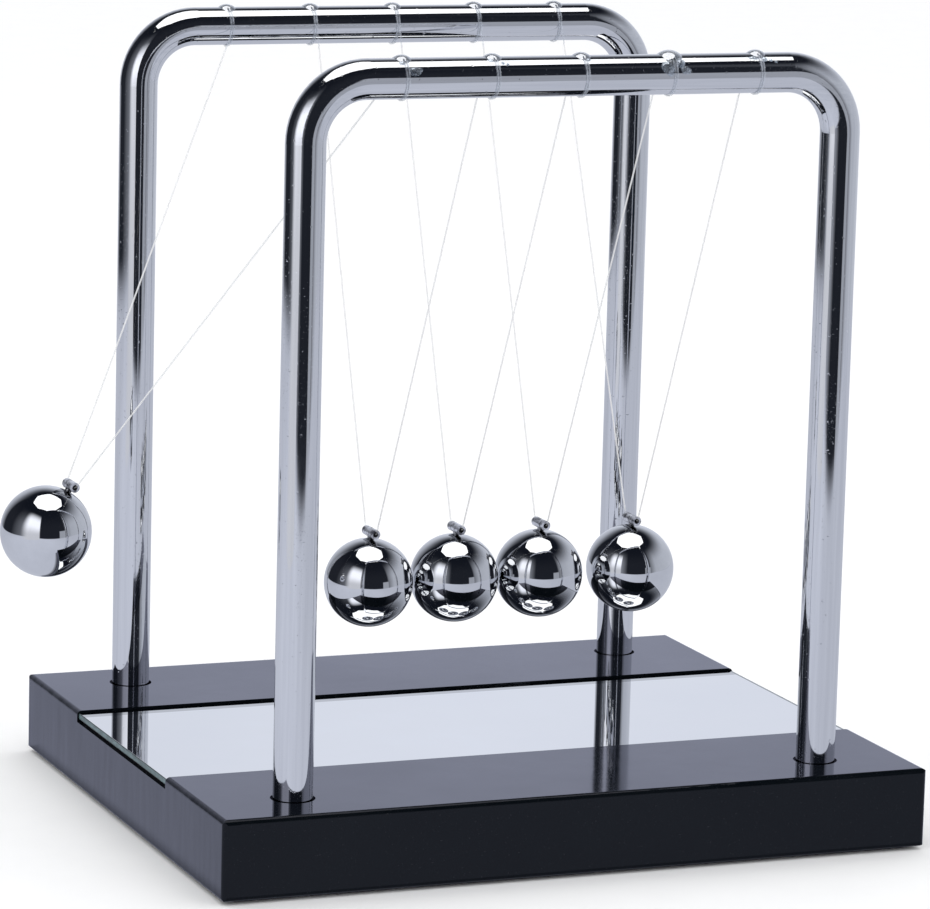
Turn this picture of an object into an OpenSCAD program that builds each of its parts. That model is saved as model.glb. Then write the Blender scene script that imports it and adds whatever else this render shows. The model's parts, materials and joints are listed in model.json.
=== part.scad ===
// Newton's cradle: five steel balls hung from two tube frames on a lacquered base with a mirror.
// X runs along the row of balls, Y runs from the front frame to the back frame and Z is up.
// The origin is on the resting surface, under the middle of the base.

/* [Base] */
// Length of the base along the row of balls
base_length = 180; // [176:1:220]
// Depth of the base from front to back
base_depth = 155; // [150:1:190]
// Height of the top of the base above the table
base_height = 20; // [18:0.5:24]
// Rounding radius on the edges of the base
edge_radius = 1.2; // [0.6:0.1:2]

/* [Mirror] */
// Width of the channel that holds the mirror
channel_width = 70; // [50:1:85]
// Depth of the mirror's face below the top of the base
mirror_recess = 0.6; // [0.5:0.1:2]
// Thickness of the mirror glass
mirror_thickness = 1.5; // [1:0.1:2]
// Thickness of the adhesive foam under the mirror
tape_thickness = 0.75; // [0.4:0.05:1]

/* [Frames] */
// Outer diameter of the frame tube
tube_diameter = 9.5; // [9:0.1:10.5]
// Wall thickness of the frame tube
tube_wall = 1; // [0.8:0.1:1.2]
// Height of the centre of the top bars above the table
bar_height = 188; // [182:1:220]
// Distance between the two legs of one frame
leg_spacing = 135; // [128:1:140]
// Distance between the front frame and the back frame
frame_spacing = 123; // [114:1:126]
// Centreline radius of the tube bends
bend_radius = 14.5; // [12:0.5:20]

/* [Balls] */
// Diameter of each ball
ball_diameter = 22; // [20:0.5:22]
// Gap between balls that hang at rest
ball_gap = 0.3; // [0.2:0.05:0.6]
// Distance from the bar centre down to the centre of a hanging ball
ball_drop = 131.5; // [125:0.5:140]
// Angle to which the first ball is lifted
lift_angle = 29.5; // [5:0.1:60]
// Sway of the last ball but one, towards the lifted ball
sway_angle = 1.45; // [0.5:0.05:2.5]
// Extra sway of each ball nearer to the lifted one
sway_step = 0.16; // [0:0.01:0.3]
// Sway of the last ball
end_sway = 0.3; // [0:0.05:0.5]

/* [Eyelets and line] */
// Outer diameter of the small tube on top of each ball
eyelet_diameter = 2.4; // [2:0.1:3]
// Bore of the small tube that the line runs through
eyelet_bore = 1.3; // [1:0.1:1.5]
// Length of the small tube
eyelet_length = 6.5; // [5:0.1:8]
// Visible gap between a ball and its small tube
eyelet_neck = 0.3; // [0.3:0.1:1]
// Diameter of the clear line
line_diameter = 0.4; // [0.3:0.05:0.5]

/* [Fixings] */
// Depth of the sockets that hold the frame legs
socket_depth = 11; // [10:0.5:12]
// Thread diameter of the screws that hold the frames
screw_diameter = 4; // [3:0.5:5]
// Thickness of the non-slip sheet under the base
sheet_thickness = 0.6; // [0.4:0.1:1]

/* [Hidden] */
$fn = 64;

ball_count = 5;
bore_overrun = 1;
fit_gap = 0.05;
tube_radius = tube_diameter / 2;
line_radius = line_diameter / 2;
ball_radius = ball_diameter / 2;
ball_pitch = ball_diameter + ball_gap;
leg_x = leg_spacing / 2;
frame_y = frame_spacing / 2;

channel_floor = base_height - mirror_recess - mirror_thickness - tape_thickness;
mirror_end_inset = 0.4;
mirror_side_gap = 0.2;
mirror_edge_bevel = 0.2;
tape_inset = 1.2;

socket_floor = base_height - socket_depth;
socket_mouth_depth = 0.6;
socket_mouth_gap = 0.6;
leg_foot = socket_floor + fit_gap;
insert_length = 12;
insert_radius = tube_radius - tube_wall - fit_gap;
screw_radius = screw_diameter / 2;
screw_clearance = 0.25;
head_radius = screw_radius * 1.9;
head_height = screw_radius * 1.2;
hex_across = screw_radius * 1.2;
hex_depth = head_height * 0.6;
washer_radius = head_radius + 1.6;
washer_thickness = 0.8;
counterbore_radius = washer_radius + 0.6;
counterbore_top = sheet_thickness + 4;
screw_tip = leg_foot + insert_length - 2;

sheet_inset = 2.5;
sheet_corner = 3;

wrap_gap = 0.03;
wrap_radius = tube_radius + line_radius + wrap_gap;
strand_offset = 0.28;
strand_tilt = 0.7;
glue_height = 0.75;
glue_half_width = 2.1;
glue_cut_gap = 0.02;
large_glue_scale = 1.3;
large_glue_index = 4;

knot_radius = line_radius * 1.75;
pivot_y = frame_y - wrap_radius - line_radius - knot_radius - fit_gap;
eyelet_radius = eyelet_diameter / 2;
eyelet_height = ball_radius + eyelet_neck + eyelet_radius;
elbow_radius = line_radius * 1.15;
elbow_y = eyelet_length / 2 + 0.35;
leg_rise = ball_drop - eyelet_height;
leg_run = pivot_y - elbow_y;
stem_radius = 0.85;
stem_depth = 5;
stem_gap = 0.02;

// Angle of a ball about its own pivot, positive towards the left end of the row
function swing(index) =
    index == 1 ? lift_angle
    : index == ball_count ? end_sway
    : sway_angle + (ball_count - 1 - index) * sway_step;
// Place of a ball along the row
function ball_x(index) = (index - (ball_count + 1) / 2) * ball_pitch;

module rounded_rectangle(length, width, radius) {
    square([length - 2 * radius, width], center = true);
    square([length, width - 2 * radius], center = true);
    for (x = [-1, 1], y = [-1, 1])
        translate([x * (length / 2 - radius), y * (width / 2 - radius)])
            circle(radius);
}

// A block with rounded edges all round, standing on z = 0
module rounded_block(length, width, height, radius) {
    intersection() {
        linear_extrude(height) rounded_rectangle(length, width, radius);
        translate([0, width / 2, height / 2])
            rotate([90, 0, 0])
                linear_extrude(width) rounded_rectangle(length, height, radius);
        translate([-length / 2, 0, height / 2])
            rotate([90, 0, 90])
                linear_extrude(length) rounded_rectangle(width, height, radius);
    }
}

// Repeats a child at the four frame legs
module at_legs() {
    for (x = [-1, 1], y = [-1, 1])
        translate([x * leg_x, y * frame_y, 0]) children();
}

module base_block() {
    color("#17181c")
        difference() {
            translate([0, 0, sheet_thickness])
                rounded_block(
                    base_length,
                    base_depth,
                    base_height - sheet_thickness,
                    edge_radius
                );
            translate([-base_length, -channel_width / 2, channel_floor])
                cube([2 * base_length, channel_width, base_height]);
            at_legs() {
                translate([0, 0, socket_floor])
                    cylinder(r = tube_radius + fit_gap, h = socket_depth + bore_overrun);
                translate([0, 0, base_height - socket_mouth_depth])
                    cylinder(
                        r = tube_radius + socket_mouth_gap,
                        h = socket_mouth_depth + bore_overrun
                    );
                cylinder(r = screw_radius + screw_clearance, h = base_height);
                cylinder(r = counterbore_radius, h = counterbore_top);
            }
        }
}

module mirror_plate() {
    length = base_length - 2 * mirror_end_inset;
    width = channel_width - 2 * mirror_side_gap;
    color("#d5d9e3")
        translate([0, 0, channel_floor + tape_thickness])
            rounded_block(length, width, mirror_thickness, mirror_edge_bevel);
}

module mirror_tape() {
    length = base_length - 2 * tape_inset;
    width = channel_width - 2 * tape_inset;
    color("#101114")
        translate([-length / 2, -width / 2, channel_floor])
            cube([length, width, tape_thickness]);
}

// A bent tube frame with its outer or inner surface at the given radius
module frame_rod(radius, overrun) {
    straight_top = bar_height - bend_radius;
    bar_half = leg_x - bend_radius;
    for (side = [-1, 1]) {
        translate([side * leg_x, 0, leg_foot - overrun])
            cylinder(r = radius, h = straight_top - leg_foot + overrun);
        translate([side * bar_half, 0, straight_top])
            rotate([90, 0, 0])
                rotate([0, 0, side > 0 ? 0 : 90])
                    rotate_extrude(angle = 90)
                        translate([bend_radius, 0]) circle(radius);
    }
    translate([-bar_half, 0, bar_height])
        rotate([0, 90, 0]) cylinder(r = radius, h = 2 * bar_half);
}

module tube_frame() {
    color("#c9ccd1")
        difference() {
            frame_rod(tube_radius, 0);
            frame_rod(tube_radius - tube_wall, bore_overrun);
        }
}

module front_frame() {
    translate([0, -frame_y, 0]) tube_frame();
}

module back_frame() {
    translate([0, frame_y, 0]) tube_frame();
}

// Threaded plugs pressed into the lower ends of the legs
module leg_inserts() {
    color("#9a9da3")
        at_legs()
            translate([0, 0, leg_foot])
                difference() {
                    cylinder(r = insert_radius, h = insert_length);
                    translate([0, 0, -bore_overrun])
                        cylinder(r = screw_radius + fit_gap, h = insert_length + bore_overrun - 1);
                }
}

module leg_screws() {
    head_top = counterbore_top - washer_thickness;
    color("#7d8086")
        at_legs()
            difference() {
                union() {
                    translate([0, 0, head_top - head_height])
                        cylinder(r = head_radius, h = head_height);
                    translate([0, 0, head_top - head_height / 2])
                        cylinder(r = screw_radius, h = screw_tip - head_top + head_height / 2);
                }
                translate([0, 0, head_top - head_height - bore_overrun])
                    cylinder(r = hex_across, h = hex_depth + bore_overrun, $fn = 6);
            }
}

module leg_washers() {
    color("#8b8e94")
        at_legs()
            translate([0, 0, counterbore_top - washer_thickness])
                difference() {
                    cylinder(r = washer_radius, h = washer_thickness);
                    translate([0, 0, -bore_overrun])
                        cylinder(
                            r = screw_radius + screw_clearance,
                            h = washer_thickness + 2 * bore_overrun
                        );
                }
}

// The thin sheet that the whole base rests on, which also covers the screws
module base_sheet() {
    length = base_length - 2 * sheet_inset;
    width = base_depth - 2 * sheet_inset;
    color("#2b2c30")
        linear_extrude(sheet_thickness) rounded_rectangle(length, width, sheet_corner);
}

// One of the two strands of a wrap round a bar, as a ring of the given strand radius
module wrap_strand(side, radius) {
    translate([side * strand_offset, 0, 0])
        rotate([0, 90 + side * strand_tilt, 0])
            rotate_extrude()
                translate([wrap_radius, 0]) circle(radius, $fn = 24);
}

// Repeats a child at the five places where the lines meet a bar
module at_wraps(bar_y) {
    for (index = [1:ball_count])
        translate([ball_x(index), bar_y, bar_height]) children();
}

module line_wraps(bar_y) {
    color("#e8eaee")
        at_wraps(bar_y)
            for (side = [-1, 1]) wrap_strand(side, line_radius);
}

module front_line_wraps() {
    line_wraps(-frame_y);
}

module back_line_wraps() {
    line_wraps(frame_y);
}

// A low drop of clear glue that sits over a wrap on top of a bar
module glue_bead(size) {
    rise = glue_height * size;
    half_width = glue_half_width * size;
    radius = (rise * rise + half_width * half_width) / (2 * rise);
    difference() {
        translate([0, 0, tube_radius + rise - radius]) sphere(radius);
        rotate([0, 90, 0])
            cylinder(r = tube_radius + glue_cut_gap, h = 4 * radius, center = true);
        for (side = [-1, 1]) wrap_strand(side, line_radius + glue_cut_gap);
    }
}

module front_glue_beads() {
    color("#dfe3ea")
        for (index = [1:ball_count])
            translate([ball_x(index), -frame_y, bar_height])
                glue_bead(index == large_glue_index ? large_glue_scale : 1);
}

module back_glue_beads() {
    color("#dfe3ea")
        at_wraps(frame_y) glue_bead(1);
}

// Puts a child, drawn with the pivot at its origin, on the pivot of a ball
module on_pivot(index) {
    translate([ball_x(index), 0, bar_height])
        rotate([0, swing(index), 0]) children();
}

module ball(index) {
    color("#c4c7cc")
        on_pivot(index)
            translate([0, 0, -ball_drop])
                difference() {
                    sphere(ball_radius);
                    translate([0, 0, ball_radius - stem_depth - stem_gap])
                        cylinder(r = stem_radius + stem_gap, h = stem_depth + bore_overrun);
                }
}

// A small tube across the top of a ball, on a stem that is set into the ball
module ball_eyelet(index) {
    color("#8f9298")
        on_pivot(index)
            translate([0, 0, -ball_drop])
                difference() {
                    union() {
                        translate([0, 0, ball_radius - stem_depth])
                            cylinder(
                                r = stem_radius,
                                h = eyelet_height - ball_radius + stem_depth
                            );
                        translate([0, 0, eyelet_height])
                            rotate([90, 0, 0])
                                cylinder(r = eyelet_radius, h = eyelet_length, center = true);
                    }
                    translate([0, 0, eyelet_height])
                        rotate([90, 0, 0])
                            cylinder(
                                r = eyelet_bore / 2,
                                h = eyelet_length + 2 * bore_overrun,
                                center = true
                            );
                }
}

// A clear line that runs through a small tube and rises to a knot at each bar
module suspension_line(index) {
    leg_length = sqrt(leg_run * leg_run + leg_rise * leg_rise);
    leg_angle = atan2(leg_run, leg_rise);
    color("#eceef2")
        on_pivot(index) {
            translate([0, 0, -leg_rise])
                rotate([90, 0, 0])
                    cylinder(r = line_radius, h = 2 * elbow_y, center = true);
            for (side = [-1, 1]) {
                translate([0, side * elbow_y, -leg_rise]) {
                    sphere(elbow_radius);
                    rotate([-side * leg_angle, 0, 0])
                        cylinder(r = line_radius, h = leg_length);
                }
                translate([0, side * pivot_y, 0]) sphere(knot_radius);
            }
        }
}

base_block();
mirror_plate();
mirror_tape();
front_frame();
back_frame();
leg_inserts();
leg_screws();
leg_washers();
base_sheet();
front_line_wraps();
back_line_wraps();
front_glue_beads();
back_glue_beads();
ball(1);  // ball_1
ball(2);  // ball_2
ball(3);  // ball_3
ball(4);  // ball_4
ball(5);  // ball_5
ball_eyelet(1);  // ball_eyelet_1
ball_eyelet(2);  // ball_eyelet_2
ball_eyelet(3);  // ball_eyelet_3
ball_eyelet(4);  // ball_eyelet_4
ball_eyelet(5);  // ball_eyelet_5
suspension_line(1);  // suspension_line_1
suspension_line(2);  // suspension_line_2
suspension_line(3);  // suspension_line_3
suspension_line(4);  // suspension_line_4
suspension_line(5);  // suspension_line_5
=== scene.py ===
import json
import math
import random

import bmesh
import bpy
from mathutils import Matrix, Vector


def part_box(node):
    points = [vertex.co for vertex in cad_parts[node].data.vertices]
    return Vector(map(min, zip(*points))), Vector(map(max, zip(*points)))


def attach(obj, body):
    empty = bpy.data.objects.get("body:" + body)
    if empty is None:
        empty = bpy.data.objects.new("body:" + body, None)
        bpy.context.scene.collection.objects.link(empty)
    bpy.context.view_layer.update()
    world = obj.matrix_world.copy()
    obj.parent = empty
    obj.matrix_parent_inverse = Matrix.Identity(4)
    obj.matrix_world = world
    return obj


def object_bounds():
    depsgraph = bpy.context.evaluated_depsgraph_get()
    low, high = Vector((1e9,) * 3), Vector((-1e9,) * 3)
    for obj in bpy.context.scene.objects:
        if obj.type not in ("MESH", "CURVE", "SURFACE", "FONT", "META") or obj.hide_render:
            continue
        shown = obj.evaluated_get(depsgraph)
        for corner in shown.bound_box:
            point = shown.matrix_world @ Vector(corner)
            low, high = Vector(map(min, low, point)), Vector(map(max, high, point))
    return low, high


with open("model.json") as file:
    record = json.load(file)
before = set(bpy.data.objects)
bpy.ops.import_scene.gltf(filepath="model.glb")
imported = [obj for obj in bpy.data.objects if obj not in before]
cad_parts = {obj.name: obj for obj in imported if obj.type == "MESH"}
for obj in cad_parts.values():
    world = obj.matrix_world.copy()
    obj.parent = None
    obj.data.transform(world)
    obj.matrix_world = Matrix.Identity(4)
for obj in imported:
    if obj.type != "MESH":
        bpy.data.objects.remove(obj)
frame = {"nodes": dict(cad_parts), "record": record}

cad_low, cad_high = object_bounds()

# ---------------------------------------------------------------------------
# Camera: where the object is seen from, and how far it is turned
# ---------------------------------------------------------------------------

CAMERA_PLACE = Vector((-0.4487, -1.1079, 0.3073))
CAMERA_YAW = math.radians(21.977)
CAMERA_PITCH = math.radians(-10.426)
CAMERA_ROLL = math.radians(1.50)
CAMERA_LENS = 190.23
SENSOR_WIDTH = 36.0


# ---------------------------------------------------------------------------
# Shader node helpers
# ---------------------------------------------------------------------------

class Tree:
    """A small wrapper that adds nodes to a material or world and links them."""

    def __init__(self, owner):
        owner.use_nodes = True
        self.tree = owner.node_tree

    def find(self, name):
        return self.tree.nodes[name]

    def add(self, kind, **settings):
        node = self.tree.nodes.new(kind)
        for key, value in settings.items():
            setattr(node, key, value)
        return node

    def put(self, socket, value):
        """Links an output to the socket, or stores a plain value in it."""
        if isinstance(value, bpy.types.NodeSocket):
            self.tree.links.new(value, socket)
        else:
            socket.default_value = value

    def math(self, operation, first, second=0.0, third=0.0):
        node = self.add("ShaderNodeMath", operation=operation)
        self.put(node.inputs[0], first)
        self.put(node.inputs[1], second)
        self.put(node.inputs[2], third)
        return node.outputs[0]

    def dot(self, vector, constant):
        node = self.add("ShaderNodeVectorMath", operation="DOT_PRODUCT")
        self.put(node.inputs[0], vector)
        node.inputs[1].default_value = constant
        return node.outputs["Value"]

    def distance(self, vector, constant):
        node = self.add("ShaderNodeVectorMath", operation="DISTANCE")
        self.put(node.inputs[0], vector)
        node.inputs[1].default_value = constant
        return node.outputs["Value"]

    def remap(self, value, low, high, to_low=0.0, to_high=1.0, smooth=False):
        kind = "SMOOTHSTEP" if smooth else "LINEAR"
        node = self.add("ShaderNodeMapRange", interpolation_type=kind)
        self.put(node.inputs["Value"], value)
        self.put(node.inputs["From Min"], low)
        self.put(node.inputs["From Max"], high)
        self.put(node.inputs["To Min"], to_low)
        self.put(node.inputs["To Max"], to_high)
        return node.outputs["Result"]

    def band(self, value, low, high, soft):
        """One between low and high, falling smoothly to zero over the soft width at each end."""
        rise = self.remap(value, low - soft, low + soft, smooth=True)
        fall = self.remap(value, high - soft, high + soft, 1.0, 0.0, smooth=True)
        return self.math("MULTIPLY", rise, fall)

    def mix(self, factor, first, second):
        node = self.add("ShaderNodeMix", data_type="RGBA")
        self.put(node.inputs["Factor"], factor)
        self.put(node.inputs[6], first)
        self.put(node.inputs[7], second)
        return node.outputs[2]

    def blend(self, factor, first, second):
        """Mixes two plain values."""
        node = self.add("ShaderNodeMix", data_type="FLOAT")
        self.put(node.inputs["Factor"], factor)
        self.put(node.inputs[2], first)
        self.put(node.inputs[3], second)
        return node.outputs[0]

    def blend_shaders(self, factor, first, second):
        node = self.add("ShaderNodeMixShader")
        self.put(node.inputs[0], factor)
        self.put(node.inputs[1], first)
        self.put(node.inputs[2], second)
        return node.outputs[0]

    def surface(self, shader):
        self.put(self.find("Material Output").inputs["Surface"], shader)

    def split(self, vector):
        """The X, Y and Z of a vector, by name."""
        node = self.add("ShaderNodeSeparateXYZ")
        self.put(node.inputs[0], vector)
        return node.outputs

    def coords(self, kind):
        return self.add("ShaderNodeTexCoord").outputs[kind]

    def facing(self, kind):
        """The surface's Normal, its Position or the direction it is seen from (Incoming)."""
        return self.add("ShaderNodeNewGeometry").outputs[kind]

    def place(self, scale=(1.0, 1.0, 1.0)):
        coords = self.coords("Object")
        mapping = self.add("ShaderNodeMapping")
        mapping.inputs["Scale"].default_value = scale
        self.put(mapping.inputs["Vector"], coords)
        return mapping.outputs["Vector"]

    def noise(self, scale, detail=3.0, roughness=0.5, stretch=(1.0, 1.0, 1.0)):
        node = self.add("ShaderNodeTexNoise")
        self.put(node.inputs["Vector"], self.place(stretch))
        node.inputs["Scale"].default_value = scale
        node.inputs["Detail"].default_value = detail
        node.inputs["Roughness"].default_value = roughness
        return node.outputs["Fac"]

    def bump(self, height, strength, distance, normal=None):
        node = self.add("ShaderNodeBump")
        self.put(node.inputs["Strength"], strength)
        node.inputs["Distance"].default_value = distance
        self.put(node.inputs["Height"], height)
        if normal is not None:
            self.put(node.inputs["Normal"], normal)
        return node.outputs["Normal"]


def principled(name, color, metallic, roughness):
    material = bpy.data.materials.new(name)
    tree = Tree(material)
    shader = tree.find("Principled BSDF")
    shader.inputs["Base Color"].default_value = (*color, 1.0)
    shader.inputs["Metallic"].default_value = metallic
    shader.inputs["Roughness"].default_value = roughness
    return material, tree, shader


# ---------------------------------------------------------------------------
# Materials
# ---------------------------------------------------------------------------

# Heights at which the straight bar and the bends below it begin
BAR_LEVEL = cad_high.z - 0.0100
BEND_LEVEL = cad_high.z - 0.0180


def chrome_plate():
    """Plated drawn tube: drawing streaks, soft smudges, tiny pits and patches of scuffs."""
    material, tree, shader = principled("frame_chrome", (0.75, 0.76, 0.78), 1.0, 0.05)
    height = tree.split(tree.coords("Object"))["Z"]
    on_bar = tree.remap(height, BEND_LEVEL, BAR_LEVEL, smooth=True)
    up_leg = tree.noise(1100, 3, 0.55, (1.0, 1.0, 0.02))
    along_bar = tree.noise(1100, 3, 0.55, (0.02, 1.0, 1.0))
    streaks = tree.blend(on_bar, up_leg, along_bar)
    smudge = tree.noise(70, 3, 0.6)
    haze = tree.remap(smudge, 0.45, 0.75, 0.012, 0.05)
    patches = tree.remap(tree.noise(42, 2, 0.5), 0.50, 0.62)
    scuffs = tree.math("MULTIPLY", tree.remap(tree.noise(2400, 3, 0.6), 0.62, 0.72), patches)
    polish = tree.math("MULTIPLY_ADD", streaks, 0.05, haze)
    tree.put(shader.inputs["Roughness"], tree.math("MULTIPLY_ADD", scuffs, 0.20, polish))
    tint = tree.mix(tree.remap(streaks, 0.3, 0.7), (0.80, 0.81, 0.83, 1), (0.72, 0.73, 0.755, 1))
    tree.put(shader.inputs["Base Color"], tint)
    pits = tree.remap(tree.noise(1300, 2, 0.4), 0.68, 0.78, 0.0, -1.0)
    soft = tree.bump(tree.noise(45, 1, 0.4), 0.03, 0.0004)
    drawn = tree.bump(streaks, 0.03, 0.00006, tree.bump(scuffs, 0.12, 0.00003, soft))
    tree.put(shader.inputs["Normal"], tree.bump(pits, 0.25, 0.00005, drawn))
    return material


def polished_steel():
    """Mirror-polished ball: sharp reflections, faint haze where fingers touched it."""
    material, tree, shader = principled("ball_steel", (0.73, 0.74, 0.76), 1.0, 0.03)
    haze = tree.noise(160, 4, 0.6)
    tree.put(shader.inputs["Roughness"], tree.remap(haze, 0.40, 0.75, 0.012, 0.060))
    tint = tree.mix(tree.remap(haze, 0.35, 0.70), (0.76, 0.77, 0.79, 1), (0.70, 0.71, 0.73, 1))
    tree.put(shader.inputs["Base Color"], tint)
    hairlines = tree.noise(2600, 2, 0.5, (0.15, 1.0, 1.0))
    tree.put(shader.inputs["Normal"], tree.bump(hairlines, 0.03, 0.00002))
    return material


# How far around the eyelets painted shade reaches into hollows
PAINTED_HOLLOW_SHADE_REACH = 0.0013


def turned_steel():
    """Small turned tube and stem: satin steel with lathe rings, dark grime in blotches and painted
    shade in its hollows.
    """
    material, tree, shader = principled("eyelet_steel", (0.50, 0.51, 0.54), 1.0, 0.25)
    grime = tree.noise(750, 4, 0.65)
    tree.put(shader.inputs["Roughness"], tree.remap(grime, 0.35, 0.75, 0.18, 0.45))
    tint = tree.mix(tree.remap(grime, 0.46, 0.62), (0.84, 0.845, 0.88, 1), (0.15, 0.15, 0.17, 1))
    # Painted shade: the colour turns nearly black in the bore, at the neck and in other hollows.
    hollow_shade = tree.add("ShaderNodeAmbientOcclusion", samples=8)
    hollow_shade.inputs["Distance"].default_value = PAINTED_HOLLOW_SHADE_REACH
    shade = tree.remap(hollow_shade.outputs["AO"], 0.35, 0.85)
    tree.put(shader.inputs["Base Color"], tree.mix(shade, (0.012, 0.012, 0.014, 1), tint))
    rings = tree.noise(4200, 2, 0.5, (0.05, 1.0, 0.05))
    turned = tree.bump(rings, 0.35, 0.00005)
    tree.put(shader.inputs["Normal"], tree.bump(grime, 0.4, 0.00012, turned))
    return material


# The lacquer mirrors its surroundings by this much more than a clear coat of its IOR would.
LACQUER_IOR = 1.25
LACQUER_SHINE = 1.50
LACQUER_TINT = (0.86, 0.87, 1.0, 1.0)


def black_lacquer():
    """Sprayed black lacquer over wood: soft gloss, faint orange peel, dust and rubbed patches."""
    material, tree, base = principled("black_lacquer", (0.014, 0.015, 0.019), 0.0, 0.6)
    base.inputs["Specular IOR Level"].default_value = 0.0
    cloud = tree.noise(38, 4, 0.6)
    dust = tree.remap(tree.noise(2300, 2, 0.6), 0.68, 0.76)
    clouded = tree.remap(cloud, 0.3, 0.7)
    shade = tree.mix(clouded, (0.0019, 0.0030, 0.0044, 1), (0.0036, 0.0050, 0.0068, 1))
    dusty = tree.math("MULTIPLY", dust, 0.06)
    tree.put(base.inputs["Base Color"], tree.mix(dusty, shade, (0.35, 0.36, 0.40, 1)))
    normal = tree.facing("Normal")
    on_edge = tree.band(tree.dot(normal, (0.0, 0.0, 1.0)), 0.15, 0.90, 0.08)
    swell = tree.noise(95, 2, 0.5)
    wavy = tree.bump(swell, 0.5, 0.0006)
    body = tree.mix(on_edge, tree.bump(swell, 0.04, 0.0002), wavy)
    peel = tree.bump(tree.noise(520, 2, 0.5), 0.06, 0.00006, body)
    grain = tree.noise(240, 3, 0.6, (0.15, 1.0, 1.0))
    relief = tree.bump(grain, 0.04, 0.00008, peel)
    tree.put(base.inputs["Normal"], relief)
    shine = tree.add("ShaderNodeBsdfGlossy")
    tree.put(shine.inputs["Roughness"], tree.remap(cloud, 0.3, 0.75, 0.045, 0.085))
    tree.put(shine.inputs["Normal"], relief)
    shine.inputs["Color"].default_value = LACQUER_TINT
    fresnel = tree.add("ShaderNodeFresnel")
    fresnel.inputs["IOR"].default_value = LACQUER_IOR
    tree.put(fresnel.inputs["Normal"], relief)
    worn = tree.remap(cloud, 0.3, 0.7, LACQUER_SHINE * 1.04, LACQUER_SHINE * 0.96)
    on_end = tree.remap(tree.math("ABSOLUTE", tree.dot(normal, (1.0, 0.0, 0.0))), 0.6, 0.9)
    streak = tree.remap(tree.noise(420, 3, 0.6, (1.0, 1.0, 0.10)), 0.3, 0.7, 0.94, 1.06)
    worn = tree.math("MULTIPLY", worn, tree.blend(on_end, 1.0, streak))
    mirrored = tree.math("MULTIPLY", fresnel.outputs[0], worn)
    tree.surface(tree.blend_shaders(mirrored, base.outputs[0], shine.outputs[0]))
    return material


GLASS_IOR = 1.5
# How much darker the painted reflection of the channel wall, its second image, makes the silver
PAINTED_GHOST_SHADE = 0.55
# Width of the ground bevel along the ends of the glass
GROUND_EDGE = 0.00025
# Directions flatter than this count as this, to keep divisions finite.
FLATTEST = 0.01


def bent_down(tree, steep):
    """The downward part of the view direction inside the glass, times the glass's IOR."""
    return tree.math("SQRT", tree.math("MULTIPLY_ADD", steep, steep, GLASS_IOR ** 2 - 1))


def painted_wall_ghost(tree):
    """One where only the silver under the glass, and not its face, mirrors the channel wall.

    The light that meets the silver leaves the glass further on, by an amount that grows with
    its slant, so the second image of the wall lies beyond the first. That second image is a
    painted reflection: the silver's colour is painted darker there.
    """
    plate_low, plate_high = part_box("mirror_plate")
    half = (plate_high.y - plate_low.y) / 2
    thickness = plate_high.z - plate_low.z
    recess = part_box("base_block")[1].z - plate_high.z
    seen_from = tree.split(tree.facing("Incoming"))
    spot = tree.split(tree.coords("Object"))
    steep = tree.math("MAXIMUM", seen_from["Z"], FLATTEST)
    slant = tree.math("MAXIMUM", tree.math("ABSOLUTE", seen_from["Y"]), FLATTEST)
    side = tree.math("SIGN", seen_from["Y"])
    to_wall = tree.math("MULTIPLY_ADD", spot["Y"], side, half)
    run = tree.math("DIVIDE", to_wall, slant)
    shift = tree.math("DIVIDE", 2 * thickness, bent_down(tree, steep))
    reach = tree.math("ADD", tree.math("DIVIDE", recess, steep), shift)
    return tree.math("LESS_THAN", run, reach)


def painted_far_end(tree):
    """One where the far end face of the glass, seen through its top, hides the silver; there the silver
    is painted with a dark image of that end face.
    """
    plate_low, plate_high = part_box("mirror_plate")
    thickness = plate_high.z - plate_low.z
    half = (plate_high.x - plate_low.x) / 2
    seen_from = tree.split(tree.facing("Incoming"))
    spot = tree.split(tree.coords("Object"))
    side = tree.math("SIGN", seen_from["X"])
    to_end = tree.math("MULTIPLY_ADD", spot["X"], side, half)
    slant = tree.math("ABSOLUTE", seen_from["X"])
    lean = tree.math("DIVIDE", slant, bent_down(tree, seen_from["Z"]))
    shift = tree.math("MULTIPLY_ADD", lean, thickness, GROUND_EDGE)
    return tree.math("LESS_THAN", to_end, shift)


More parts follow.
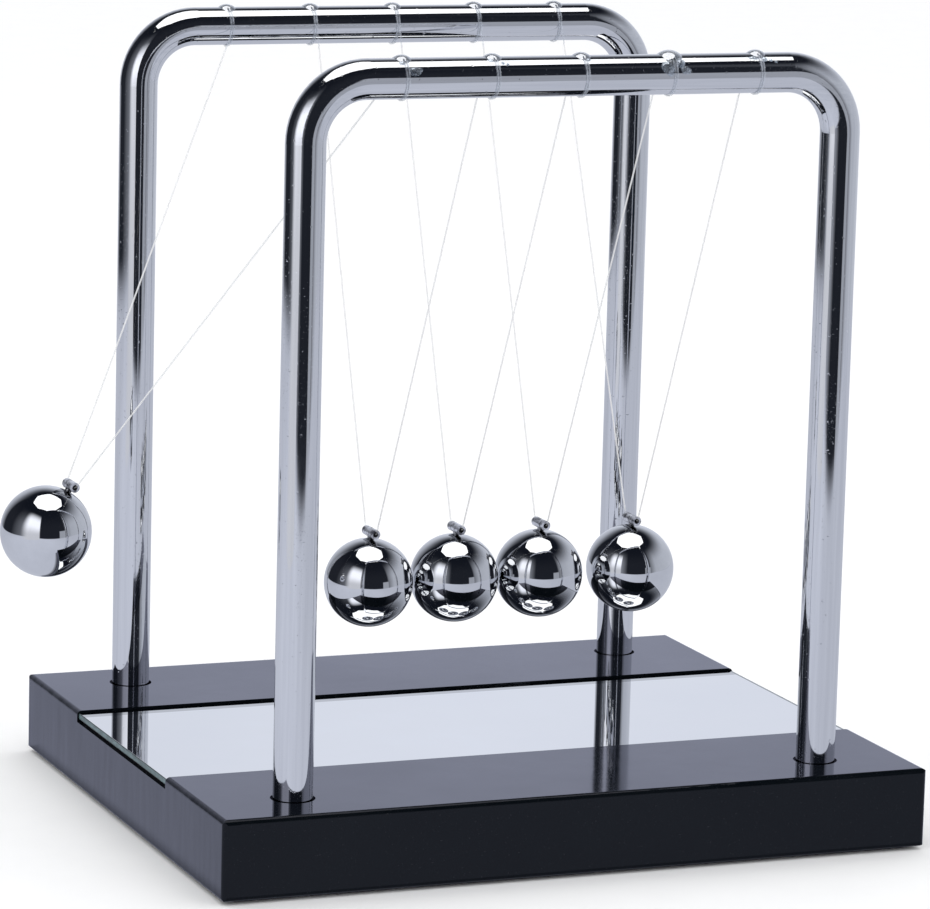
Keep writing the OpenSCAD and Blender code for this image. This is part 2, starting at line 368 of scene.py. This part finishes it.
def mirror_glass():
    """Silvered glass seen from above, with ground green edges on its sides."""
    material, tree, silver = principled("mirror_glass", (0.86, 0.89, 0.94), 1.0, 0.012)
    smear = tree.noise(28, 3, 0.6)
    tree.put(silver.inputs["Roughness"], tree.remap(smear, 0.4, 0.75, 0.008, 0.045))
    tint = tree.mix(tree.remap(smear, 0.3, 0.7), (0.90, 0.91, 0.925, 1), (0.87, 0.88, 0.90, 1))
    # Painted reflection: the silver is painted darker where the channel wall's second image falls.
    painted_ghost = tree.math("MULTIPLY", painted_wall_ghost(tree), PAINTED_GHOST_SHADE)
    shaded = tree.mix(painted_ghost, tint, (0.10, 0.11, 0.12, 1))
    # Painted image: where the far end face shows through the top, the silver is painted dark teal.
    tree.put(silver.inputs["Base Color"], tree.mix(painted_far_end(tree), shaded, (0.05, 0.075, 0.08, 1)))
    silver.inputs["Coat Weight"].default_value = 0.6
    silver.inputs["Coat Roughness"].default_value = 0.01
    edge = tree.add("ShaderNodeBsdfPrincipled")
    ground = tree.noise(1500, 3, 0.6, (1.0, 0.25, 1.0))
    frosted = tree.remap(ground, 0.35, 0.65)
    green = tree.mix(frosted, (0.032, 0.078, 0.080, 1), (0.12, 0.205, 0.215, 1))
    edge.inputs["Roughness"].default_value = 0.28
    edge.inputs["Transmission Weight"].default_value = 0.25
    tree.put(edge.inputs["Normal"], tree.bump(ground, 0.3, 0.00005))
    upward = tree.dot(tree.facing("Normal"), (0.0, 0.0, 1.0))
    is_top = tree.remap(upward, 0.90, 0.96)
    on_bevel = tree.remap(tree.math("ABSOLUTE", upward), 0.25, 0.45)
    dark_rim = (0.006, 0.012, 0.014, 1)
    tree.put(edge.inputs["Base Color"], tree.mix(on_bevel, green, dark_rim))
    tree.surface(tree.blend_shaders(is_top, edge.outputs[0], silver.outputs[0]))
    return material


def black_foam():
    """Matte closed-cell foam with a fine open grain."""
    material, tree, shader = principled("black_foam", (0.014, 0.014, 0.016), 0.0, 0.85)
    cells = tree.noise(1400, 3, 0.6)
    tint = tree.mix(tree.remap(cells, 0.3, 0.7), (0.009, 0.009, 0.011, 1), (0.026, 0.026, 0.029, 1))
    tree.put(shader.inputs["Base Color"], tint)
    tree.put(shader.inputs["Roughness"], tree.remap(cells, 0.3, 0.7, 0.70, 0.95))
    tree.put(shader.inputs["Normal"], tree.bump(cells, 0.5, 0.0002))
    return material


def zinc_steel():
    """Zinc-plated steel with a faint crystalline mottle."""
    material, tree, shader = principled("zinc_steel", (0.55, 0.56, 0.58), 1.0, 0.35)
    mottle = tree.noise(700, 4, 0.6)
    tree.put(shader.inputs["Roughness"], tree.remap(mottle, 0.3, 0.7, 0.26, 0.45))
    tint = tree.mix(tree.remap(mottle, 0.3, 0.7), (0.60, 0.61, 0.62, 1), (0.44, 0.45, 0.47, 1))
    tree.put(shader.inputs["Base Color"], tint)
    tree.put(shader.inputs["Normal"], tree.bump(mottle, 0.15, 0.00008))
    return material


def let_through(tree, shader, share, color):
    """Lets the given share of the light pass straight through a thin clear piece."""
    clear = tree.add("ShaderNodeBsdfTransparent")
    clear.inputs["Color"].default_value = color
    return tree.blend_shaders(share, shader.outputs[0], clear.outputs[0])


# The share of light that passes straight through a thread: seen directly, in reflections, just
# above the eyelet and inside its bore
THREAD_CLEAR = 0.42
MIRRORED_THREAD_CLEAR = 0.86
LOW_THREAD_CLEAR = 0.92
BORE_THREAD_CLEAR = 0.1
# Shares of a line's height: the thread leaves the bore between the first two, where the painted
# shade of the bore fades from it, and grows as visible as it gets between the last two.
BORE_TOP = (0.003, 0.005)
LOW_THREAD = (0.008, 0.022)
# The wraps reach this far below the level of the bar.
WRAP_LEVEL = BAR_LEVEL - 0.0012


def clear_line():
    """Clear nylon line: a pale, half see-through thread whose sheen comes and goes."""
    material, tree, shader = principled("clear_line", (0.77, 0.77, 0.78), 0.0, 0.30)
    kinks = tree.noise(350, 3, 0.6)
    tint = tree.mix(tree.remap(kinks, 0.3, 0.7), (0.90, 0.90, 0.91, 1), (0.86, 0.865, 0.88, 1))
    along = tree.split(tree.coords("Generated"))["Z"]
    painted_bore_shade = tree.remap(along, *BORE_TOP, 1.0, 0.0)
    tree.put(shader.inputs["Roughness"], tree.remap(kinks, 0.3, 0.7, 0.25, 0.42))
    shader.inputs["IOR"].default_value = 1.35
    tree.put(shader.inputs["Normal"], tree.bump(kinks, 0.1, 0.00005))
    on_bar = tree.remap(tree.split(tree.coords("Object"))["Z"], WRAP_LEVEL, BAR_LEVEL)
    off_bar = tree.math("SUBTRACT", 1.0, on_bar)
    sheen = tree.remap(tree.noise(420, 2, 0.6), 0.35, 0.65, 0.70, 0.92)
    thread = tree.remap(along, *LOW_THREAD, LOW_THREAD_CLEAR, THREAD_CLEAR)
    thread = tree.blend(painted_bore_shade, thread, BORE_THREAD_CLEAR)
    # Painted shade: where the line is wound round the bar it is painted darker and bluer.
    tint = tree.mix(on_bar, tint, (0.58, 0.62, 0.70, 1))
    # Painted shade: inside the eyelet's bore the thread is painted nearly black.
    shaded = tree.mix(tree.math("MULTIPLY", painted_bore_shade, off_bar), tint, (0.012, 0.012, 0.014, 1))
    tree.put(shader.inputs["Base Color"], shaded)
    mirrored = tree.add("ShaderNodeLightPath").outputs["Is Glossy Ray"]
    faint = tree.blend(mirrored, thread, MIRRORED_THREAD_CLEAR)
    share = tree.blend(on_bar, faint, sheen)
    tree.surface(let_through(tree, shader, share, (0.97, 0.975, 0.98, 1)))
    return material


# Vertex values: one all over the smears, and one where they thin out to nothing
SMEARED = "smeared"
THIN = "thin"
# Light that the chrome beneath throws back through the uneven surface of the glue
GLUE_SHINE = 0.50
BEAD_SHINE_TINT = (0.95, 0.96, 0.99, 1.0)
SMEAR_SHINE_TINT = (0.84, 0.91, 1.0, 1.0)


def clear_glue():
    """Hardened clear glue: glassy and slightly uneven, with cloudy spots and wet highlights."""
    material, tree, shader = principled("clear_glue", (0.96, 0.97, 0.98), 0.0, 0.05)
    lumps = tree.noise(500, 2, 0.5)
    tree.put(shader.inputs["Roughness"], tree.remap(lumps, 0.3, 0.7, 0.02, 0.10))
    tint = tree.mix(tree.remap(lumps, 0.3, 0.7), (0.84, 0.90, 0.97, 1), (0.60, 0.66, 0.74, 1))
    tree.put(shader.inputs["Base Color"], tint)
    shader.inputs["IOR"].default_value = 1.60
    smeared = tree.add("ShaderNodeAttribute", attribute_name=SMEARED).outputs["Fac"]
    waves = tree.bump(lumps, tree.blend(smeared, 0.12, 0.5), 0.0004)
    relief = tree.bump(tree.noise(900, 2, 0.5), tree.blend(smeared, 0.08, 0.6), 0.0003, waves)
    tree.put(shader.inputs["Normal"], relief)
    rim = tree.add("ShaderNodeLayerWeight")
    rim.inputs["Blend"].default_value = 0.35
    tree.put(rim.inputs["Normal"], relief)
    cloudy = tree.remap(lumps, 0.35, 0.70, 0.96, 0.74)
    thick = tree.math("MULTIPLY", cloudy, tree.remap(rim.outputs["Facing"], 0.4, 1.0, 1.0, 0.55))
    thin = tree.add("ShaderNodeAttribute", attribute_name=THIN).outputs["Fac"]
    share = tree.blend(thin, thick, 1.0)
    body = let_through(tree, shader, share, (0.97, 0.98, 0.99, 1))
    wet = tree.add("ShaderNodeBsdfGlossy")
    tree.put(wet.inputs["Color"], tree.mix(smeared, BEAD_SHINE_TINT, SMEAR_SHINE_TINT))
    tree.put(wet.inputs["Roughness"], tree.remap(lumps, 0.3, 0.7, 0.03, 0.14))
    tree.put(wet.inputs["Normal"], relief)
    shining = tree.remap(thin, 0.0, 1.0, GLUE_SHINE, 0.0)
    tree.surface(tree.blend_shaders(shining, body, wet.outputs[0]))
    return material


MAKERS = {
    "black_lacquer": black_lacquer,
    "mirror_glass": mirror_glass,
    "black_foam": black_foam,
    "frame_chrome": chrome_plate,
    "zinc_steel": zinc_steel,
    "clear_line": clear_line,
    "clear_glue": clear_glue,
    "ball_steel": polished_steel,
    "eyelet_steel": turned_steel,
}
materials = {slot: make() for slot, make in MAKERS.items()}


def dress_frame_nodes():
    """Gives every carried-over node the material of its slot in the record."""
    for part in frame["record"]["subparts"]:
        node = frame["nodes"][part["node"]]
        node.data.materials.clear()
        node.data.materials.append(materials[part["material_slot"]])


dress_frame_nodes()


# ---------------------------------------------------------------------------
# Glue smeared on the front bar beside the wraps
# ---------------------------------------------------------------------------

MM = 0.001
# The wrap it belongs to, the offset along the bar, the degrees from the top of the bar towards
# the front, half the length, half the width and the thickness, in millimetres
GLUE_SMEARS = (
    (1, 1.9, 64, 1.8, 1.1, 0.14),
    (1, -0.9, 36, 0.8, 0.7, 0.22),
    (2, 1.5, 42, 0.50, 0.55, 0.34),
    (2, 2.6, 47, 0.42, 0.45, 0.30),
    (2, -1.2, 30, 1.0, 0.7, 0.20),
    (3, 0.8, 34, 0.7, 0.6, 0.22),
    (4, -1.9, 66, 1.7, 1.9, 0.30),
    (4, 1.3, 50, 1.3, 1.5, 0.34),
    (4, 2.6, 74, 1.5, 0.9, 0.16),
    (4, 0.2, 28, 1.4, 1.0, 0.40),
    (5, -1.6, 36, 1.5, 0.7, 0.24),
    (5, 0.9, 42, 0.8, 0.8, 0.34),
    (5, 2.5, 46, 0.50, 0.45, 0.26),
    (5, 3.7, 52, 0.38, 0.36, 0.20),
)
# Each smear is a disc of rings and spokes, held this far off the chrome, in millimetres.
SMEAR_RINGS = 7
SMEAR_SPOKES = 30
SMEAR_LIFT = 0.015
SMEAR_SEED = 11


def smear_layers(shape, spot, size, thickness, on_bar, chance):
    """Adds one closed drop: a domed upper skin and a lower skin that follows the bar."""
    lobes = [
        (count, chance.uniform(0.03, 0.20 / count), chance.uniform(0, math.tau))
        for count in (2, 3, 5)
    ]

    def vertex(ring, spoke, lifted):
        share = ring / SMEAR_RINGS
        turn = math.tau * spoke / SMEAR_SPOKES
        wave = 1 + sum(depth * math.sin(count * turn + start) for count, depth, start in lobes)
        dome = thickness * (1 - share * share)
        lift = SMEAR_LIFT + (dome if lifted else 0.0)
        along = spot[0] + size[0] * share * wave * math.cos(turn)
        around = spot[1] + size[1] * share * wave * math.sin(turn)
        point = shape.verts.new(on_bar(along, around, lift))
        point[shape.verts.layers.float[THIN]] = share ** 2.5
        point[shape.verts.layers.float[SMEARED]] = 1.0
        return point

    rim = [vertex(SMEAR_RINGS, spoke, False) for spoke in range(SMEAR_SPOKES)]
    for lifted in (True, False):
        rings = [
            [vertex(ring, spoke, lifted) for spoke in range(SMEAR_SPOKES)]
            for ring in range(1, SMEAR_RINGS)
        ]
        rings.append(rim)
        middle = vertex(0, 0, lifted)
        for spoke in range(SMEAR_SPOKES):
            after = (spoke + 1) % SMEAR_SPOKES
            shape.faces.new((middle, rings[0][spoke], rings[0][after]))
            for inner, outer in zip(rings, rings[1:]):
                shape.faces.new((inner[spoke], outer[spoke], outer[after], inner[after]))


def make_glue_smears():
    """Lays the smears round the front bar, as one piece that belongs to the stand."""
    low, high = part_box("front_frame")
    radius = (high.y - low.y) / 2
    bar_y = (low.y + high.y) / 2
    bar_z = high.z - radius
    joints = frame["record"]["behaviour"]["joints"]
    chance = random.Random(SMEAR_SEED)
    mesh = bpy.data.meshes.new("front_glue_smears")
    shape = bmesh.new()
    shape.verts.layers.float.new(THIN)
    shape.verts.layers.float.new(SMEARED)
    for wrap, offset, degrees, half_length, half_width, thickness in GLUE_SMEARS:
        middle = joints[wrap - 1]["pos_m"][0]

        def on_bar(along, around, lift):
            angle = around * MM / radius
            out = radius + lift * MM
            return (middle + along * MM, bar_y - out * math.sin(angle), bar_z + out * math.cos(angle))

        spot = (offset, math.radians(degrees) * radius / MM)
        smear_layers(shape, spot, (half_length, half_width), thickness, on_bar, chance)
    bmesh.ops.recalc_face_normals(shape, faces=shape.faces)
    for face in shape.faces:
        face.smooth = True
    shape.to_mesh(mesh)
    shape.free()
    smears = bpy.data.objects.new("front_glue_smears", mesh)
    bpy.context.scene.collection.objects.link(smears)
    mesh.materials.append(materials["clear_glue"])
    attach(smears, "stand")


make_glue_smears()


# ---------------------------------------------------------------------------
# Studio: floor, surroundings, lights and camera
# ---------------------------------------------------------------------------

CAMERA_SIDE = Vector((-math.sin(CAMERA_YAW), -math.cos(CAMERA_YAW), 0.0))
CAMERA_RIGHT = Vector((math.cos(CAMERA_YAW), -math.sin(CAMERA_YAW), 0.0))
PALE = (0.93, 0.935, 0.945, 1.0)
FLOOR_SIZE = 14.0
# The floor lies this far below the base, with the table of the reflections halfway between.
FLOOR_DROP = 0.0002
DISC_SIDES = 96

# Reflections see a lit table top of their own. It fades out between these two distances, and
# it ends sooner at a straight front edge that faces the given azimuth.
TABLE_NEAR = 0.80
TABLE_FAR = 1.00
TABLE_FRONT = 0.46
TABLE_FRONT_SOFT = 0.12
TABLE_FRONT_AZIMUTH = math.radians(18)
TABLE_LIGHT = 0.585
TABLE_TINT = (0.955, 1.0, 1.15)
# The white panel lights the table near its foot by this much more, less and less between
# these two distances from the foot.
TABLE_BOOST = 0.10
BOOST_NEAR = 0.15
BOOST_FAR = 0.60
# The table is in shade this close to the base, with this light where it meets the base.
SHADE_REACH = 0.006
SHADE_LIGHT = 0.15


def place_in_scene(name, mesh, material):
    thing = bpy.data.objects.new(name, mesh)
    bpy.context.scene.collection.objects.link(thing)
    mesh.materials.append(material)
    return thing


def disc_mesh(name, radius, sides):
    mesh = bpy.data.meshes.new(name)
    shape = bmesh.new()
    bmesh.ops.create_circle(shape, cap_ends=True, segments=sides, radius=radius)
    shape.to_mesh(mesh)
    shape.free()
    return mesh


def floor_material():
    """Pale paper with a soft, barely visible mottle."""
    material, tree, shader = principled("floor_paper", PALE[:3], 0.0, 0.6)
    paper = tree.noise(60, 4, 0.6)
    light = tree.mix(tree.remap(paper, 0.3, 0.7), PALE, (0.915, 0.92, 0.93, 1))
    tree.put(shader.inputs["Base Color"], light)
    tree.put(shader.inputs["Roughness"], tree.remap(paper, 0.3, 0.7, 0.55, 0.75))
    shader.inputs["Specular IOR Level"].default_value = 0.0
    return material


def make_floor():
    floor = place_in_scene("floor", disc_mesh("floor", FLOOR_SIZE, DISC_SIDES), floor_material())
    floor.location.z = cad_low.z - FLOOR_DROP
    floor.visible_glossy = False


def glow_material(name, color, strength, fade=None, boost=None):
    """Plain light of its own; where fade falls to zero the surface is clear."""
    material = bpy.data.materials.new(name)
    tree = Tree(material)
    glow = tree.add("ShaderNodeEmission")
    glow.inputs["Color"].default_value = (*color, 1.0)
    glow.inputs["Strength"].default_value = strength
    if boost is not None:
        tree.put(glow.inputs["Strength"], tree.math("ADD", boost(tree), strength))
    surface = glow.outputs[0]
    if fade is not None:
        clear = tree.add("ShaderNodeBsdfTransparent").outputs[0]
        surface = tree.blend_shaders(fade(tree), clear, surface)
    tree.surface(surface)
    return material


def only_in_reflections(thing):
    thing.visible_camera = False
    thing.visible_diffuse = False
    thing.visible_transmission = False
    thing.visible_shadow = False


def make_table():
    def fade(tree):
        spot = tree.facing("Position")
        reach = tree.distance(spot, (0.0, 0.0, 0.0))
        round_edge = tree.remap(reach, TABLE_NEAR, TABLE_FAR, 1.0, 0.0, smooth=True)
        ahead = tree.dot(spot, toward(TABLE_FRONT_AZIMUTH))
        front_end = TABLE_FRONT + TABLE_FRONT_SOFT
        straight_edge = tree.remap(ahead, TABLE_FRONT, front_end, 1.0, 0.0, smooth=True)
        return tree.math("MULTIPLY", round_edge, straight_edge)

    def boost(tree):
        spot = tree.facing("Position")
        away = tree.distance(spot, toward(KEY_AZIMUTH) * KEY_DISTANCE)
        near_panel = tree.remap(away, BOOST_NEAR, BOOST_FAR, TABLE_BOOST, 0.0, smooth=True)
        place = tree.split(spot)
        base_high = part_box("base_block")[1]
        beside = tree.math("SUBTRACT", tree.math("ABSOLUTE", place["X"]), base_high.x)
        before = tree.math("SUBTRACT", tree.math("ABSOLUTE", place["Y"]), base_high.y)
        gap = tree.math("MAXIMUM", beside, before)
        shade = tree.remap(gap, 0.0, SHADE_REACH, SHADE_LIGHT - TABLE_LIGHT, 0.0, smooth=True)
        return tree.math("ADD", near_panel, shade)

    glow = glow_material("table_light", TABLE_TINT, TABLE_LIGHT, fade, boost)
    table = place_in_scene("table", disc_mesh("table", TABLE_FAR, DISC_SIDES), glow)
    table.location.z = cad_low.z - FLOOR_DROP / 2
    only_in_reflections(table)


# The white panel stands to the left of the camera: azimuth, distance, width, height and the
# height of its lower edge, with the shares of its size over which its sides and top fade.
KEY_AZIMUTH = math.radians(-42)
KEY_DISTANCE = 0.45
KEY_WIDTH = 0.36
KEY_HEIGHT = 0.54
KEY_LOW = 0.0
KEY_FADE = 0.40
KEY_RIGHT_FADE = 0.06
KEY_TOP_FADE = 0.45
KEY_LIGHT = 0.72
KEY_TINT = (0.965, 0.985, 1.06)
# It grows brighter by this much between these two heights.
KEY_BOOST = 0.60
KEY_BOOST_LOW = 0.07
KEY_BOOST_HEIGHT = 0.24

# The octagonal softbox hangs over the object.
BOX_SIDES = 8
BOX_RADIUS = 0.70
BOX_HEIGHT = 1.40
BOX_LIGHT = 1.7


def toward(azimuth):
    """Unit vector on the ground: 0 points to the camera, positive turns to its right."""
    return CAMERA_SIDE * math.cos(azimuth) + CAMERA_RIGHT * math.sin(azimuth)


def make_key_panel():
    def fade(tree):
        place = tree.split(tree.coords("Object"))
        side = KEY_WIDTH / 2
        left = tree.remap(place["X"], -side, KEY_FADE * KEY_WIDTH - side, smooth=True)
        right_start = side - KEY_RIGHT_FADE * KEY_WIDTH
        right = tree.remap(place["X"], right_start, side, 1.0, 0.0, smooth=True)
        top_start = KEY_HEIGHT * (1 - KEY_TOP_FADE)
        top = tree.remap(place["Z"], top_start, KEY_HEIGHT, 1.0, 0.0, smooth=True)
        return tree.math("MULTIPLY", tree.math("MULTIPLY", left, right), top)

    def boost(tree):
        up = tree.split(tree.coords("Object"))["Z"]
        return tree.remap(up, KEY_BOOST_LOW, KEY_BOOST_HEIGHT, 0.0, KEY_BOOST, smooth=True)

    mesh = bpy.data.meshes.new("key_panel")
    half = KEY_WIDTH / 2
    corners = [(-half, 0, 0), (half, 0, 0), (half, 0, KEY_HEIGHT), (-half, 0, KEY_HEIGHT)]
    mesh.from_pydata(corners, [], [(0, 1, 2, 3)])
    glow = glow_material("key_light", KEY_TINT, KEY_LIGHT, fade, boost)
    panel = place_in_scene("key_panel", mesh, glow)
    out = toward(KEY_AZIMUTH)
    side = toward(KEY_AZIMUTH + math.pi / 2)
    turn = Matrix((side, -out, Vector((0, 0, 1)))).transposed()
    spot = out * KEY_DISTANCE + Vector((0, 0, KEY_LOW))
    panel.matrix_world = Matrix.Translation(spot) @ turn.to_4x4()
    only_in_reflections(panel)


def make_softbox():
    glow = glow_material("softbox_light", (1.0, 1.0, 1.0), BOX_LIGHT)
    box = place_in_scene("softbox", disc_mesh("softbox", BOX_RADIUS, BOX_SIDES), glow)
    box.location.z = BOX_HEIGHT
    box.rotation_euler.z = math.pi / BOX_SIDES
    box.visible_camera = False
    box.visible_transmission = False


# Brightness of the room around the object: azimuth in degrees, as above, and brightness.
ROOM = (
    (-180, 0.76), (-152, 0.50), (-134, 0.20), (-126, 0.01), (-92, 0.01), (-72, 0.10),
    (-26, 0.30), (-8, 0.008), (53, 0.008), (57, 0.22), (72, 0.50), (95, 0.55), (150, 0.62), (180, 0.76),
)
# The walls fade to dark between these elevations.
ROOM_FADE_LOW = 17.0
ROOM_FADE_HIGH = 55.0
ROOM_TINT = (0.955, 1.0, 1.12)
# Light that even the dark parts of the room give
ROOM_DARK = (0.008, 0.010, 0.016)
# Light on matte surfaces from all around
AMBIENT = 1.06
# A small pale window low in the dark part of the room: azimuths and elevations in degrees
WINDOW = (40, 55, -20, 9)
WINDOW_LIGHT = 0.38


def make_room():
    world = bpy.data.worlds.new("studio")
    bpy.context.scene.world = world
    tree = Tree(world)
    direction = tree.coords("Generated")
    upward = tree.dot(direction, (0.0, 0.0, 1.0))
    elevation = tree.math("DEGREES", tree.math("ARCSINE", upward))
    ahead = tree.dot(direction, CAMERA_SIDE)
    aside = tree.dot(direction, CAMERA_RIGHT)
    azimuth = tree.math("DEGREES", tree.math("ARCTAN2", aside, ahead))
    ramp = tree.add("ShaderNodeValToRGB")
    tree.put(ramp.inputs[0], tree.remap(azimuth, -180, 180))
    stops = ramp.color_ramp.elements
    while len(stops) < len(ROOM):
        stops.new(1.0)
    for stop, (angle, bright) in zip(stops, ROOM):
        stop.position = (angle + 180) / 360
        stop.color = (bright, bright, bright, 1.0)
    below_top = tree.remap(elevation, ROOM_FADE_LOW, ROOM_FADE_HIGH, 1.0, 0.0, smooth=True)
    walls = tree.math("MULTIPLY", ramp.outputs[0], below_top)
    left, right, low, high = WINDOW
    beside = tree.band(azimuth, left, right, 1)
    window = tree.math("MULTIPLY", beside, tree.band(elevation, low, high, 1))
    total = tree.math("MULTIPLY_ADD", window, WINDOW_LIGHT, walls)
    scaled = tree.add("ShaderNodeVectorMath", operation="SCALE")
    scaled.inputs[0].default_value = ROOM_TINT
    tree.put(scaled.inputs["Scale"], total)
    lifted = tree.add("ShaderNodeVectorMath", operation="ADD")
    tree.put(lifted.inputs[0], scaled.outputs[0])
    lifted.inputs[1].default_value = ROOM_DARK
    mirrored = tree.add("ShaderNodeLightPath").outputs["Is Glossy Ray"]
    seen = tree.add("ShaderNodeLightPath").outputs["Is Camera Ray"]
    plain = tree.mix(seen, (AMBIENT, AMBIENT, AMBIENT, 1.0), (1.0, 1.0, 1.0, 1.0))
    background = tree.find("Background")
    tree.put(background.inputs["Color"], tree.mix(mirrored, plain, lifted.outputs[0]))


def make_camera():
    forward = Vector((
        math.sin(CAMERA_YAW) * math.cos(CAMERA_PITCH),
        math.cos(CAMERA_YAW) * math.cos(CAMERA_PITCH),
        math.sin(CAMERA_PITCH),
    ))
    level_up = CAMERA_RIGHT.cross(forward)
    right = CAMERA_RIGHT * math.cos(CAMERA_ROLL) + level_up * math.sin(CAMERA_ROLL)
    up = level_up * math.cos(CAMERA_ROLL) - CAMERA_RIGHT * math.sin(CAMERA_ROLL)
    turn = Matrix((right, up, -forward)).transposed()
    data = bpy.data.cameras.new("camera")
    data.lens = CAMERA_LENS
    data.sensor_width = SENSOR_WIDTH
    camera = bpy.data.objects.new("camera", data)
    bpy.context.scene.collection.objects.link(camera)
    camera.matrix_world = Matrix.Translation(CAMERA_PLACE) @ turn.to_4x4()
    bpy.context.scene.camera = camera


make_floor()
make_table()
make_key_panel()
make_softbox()
make_room()
make_camera()
bpy.context.scene.view_settings.view_transform = "Standard"
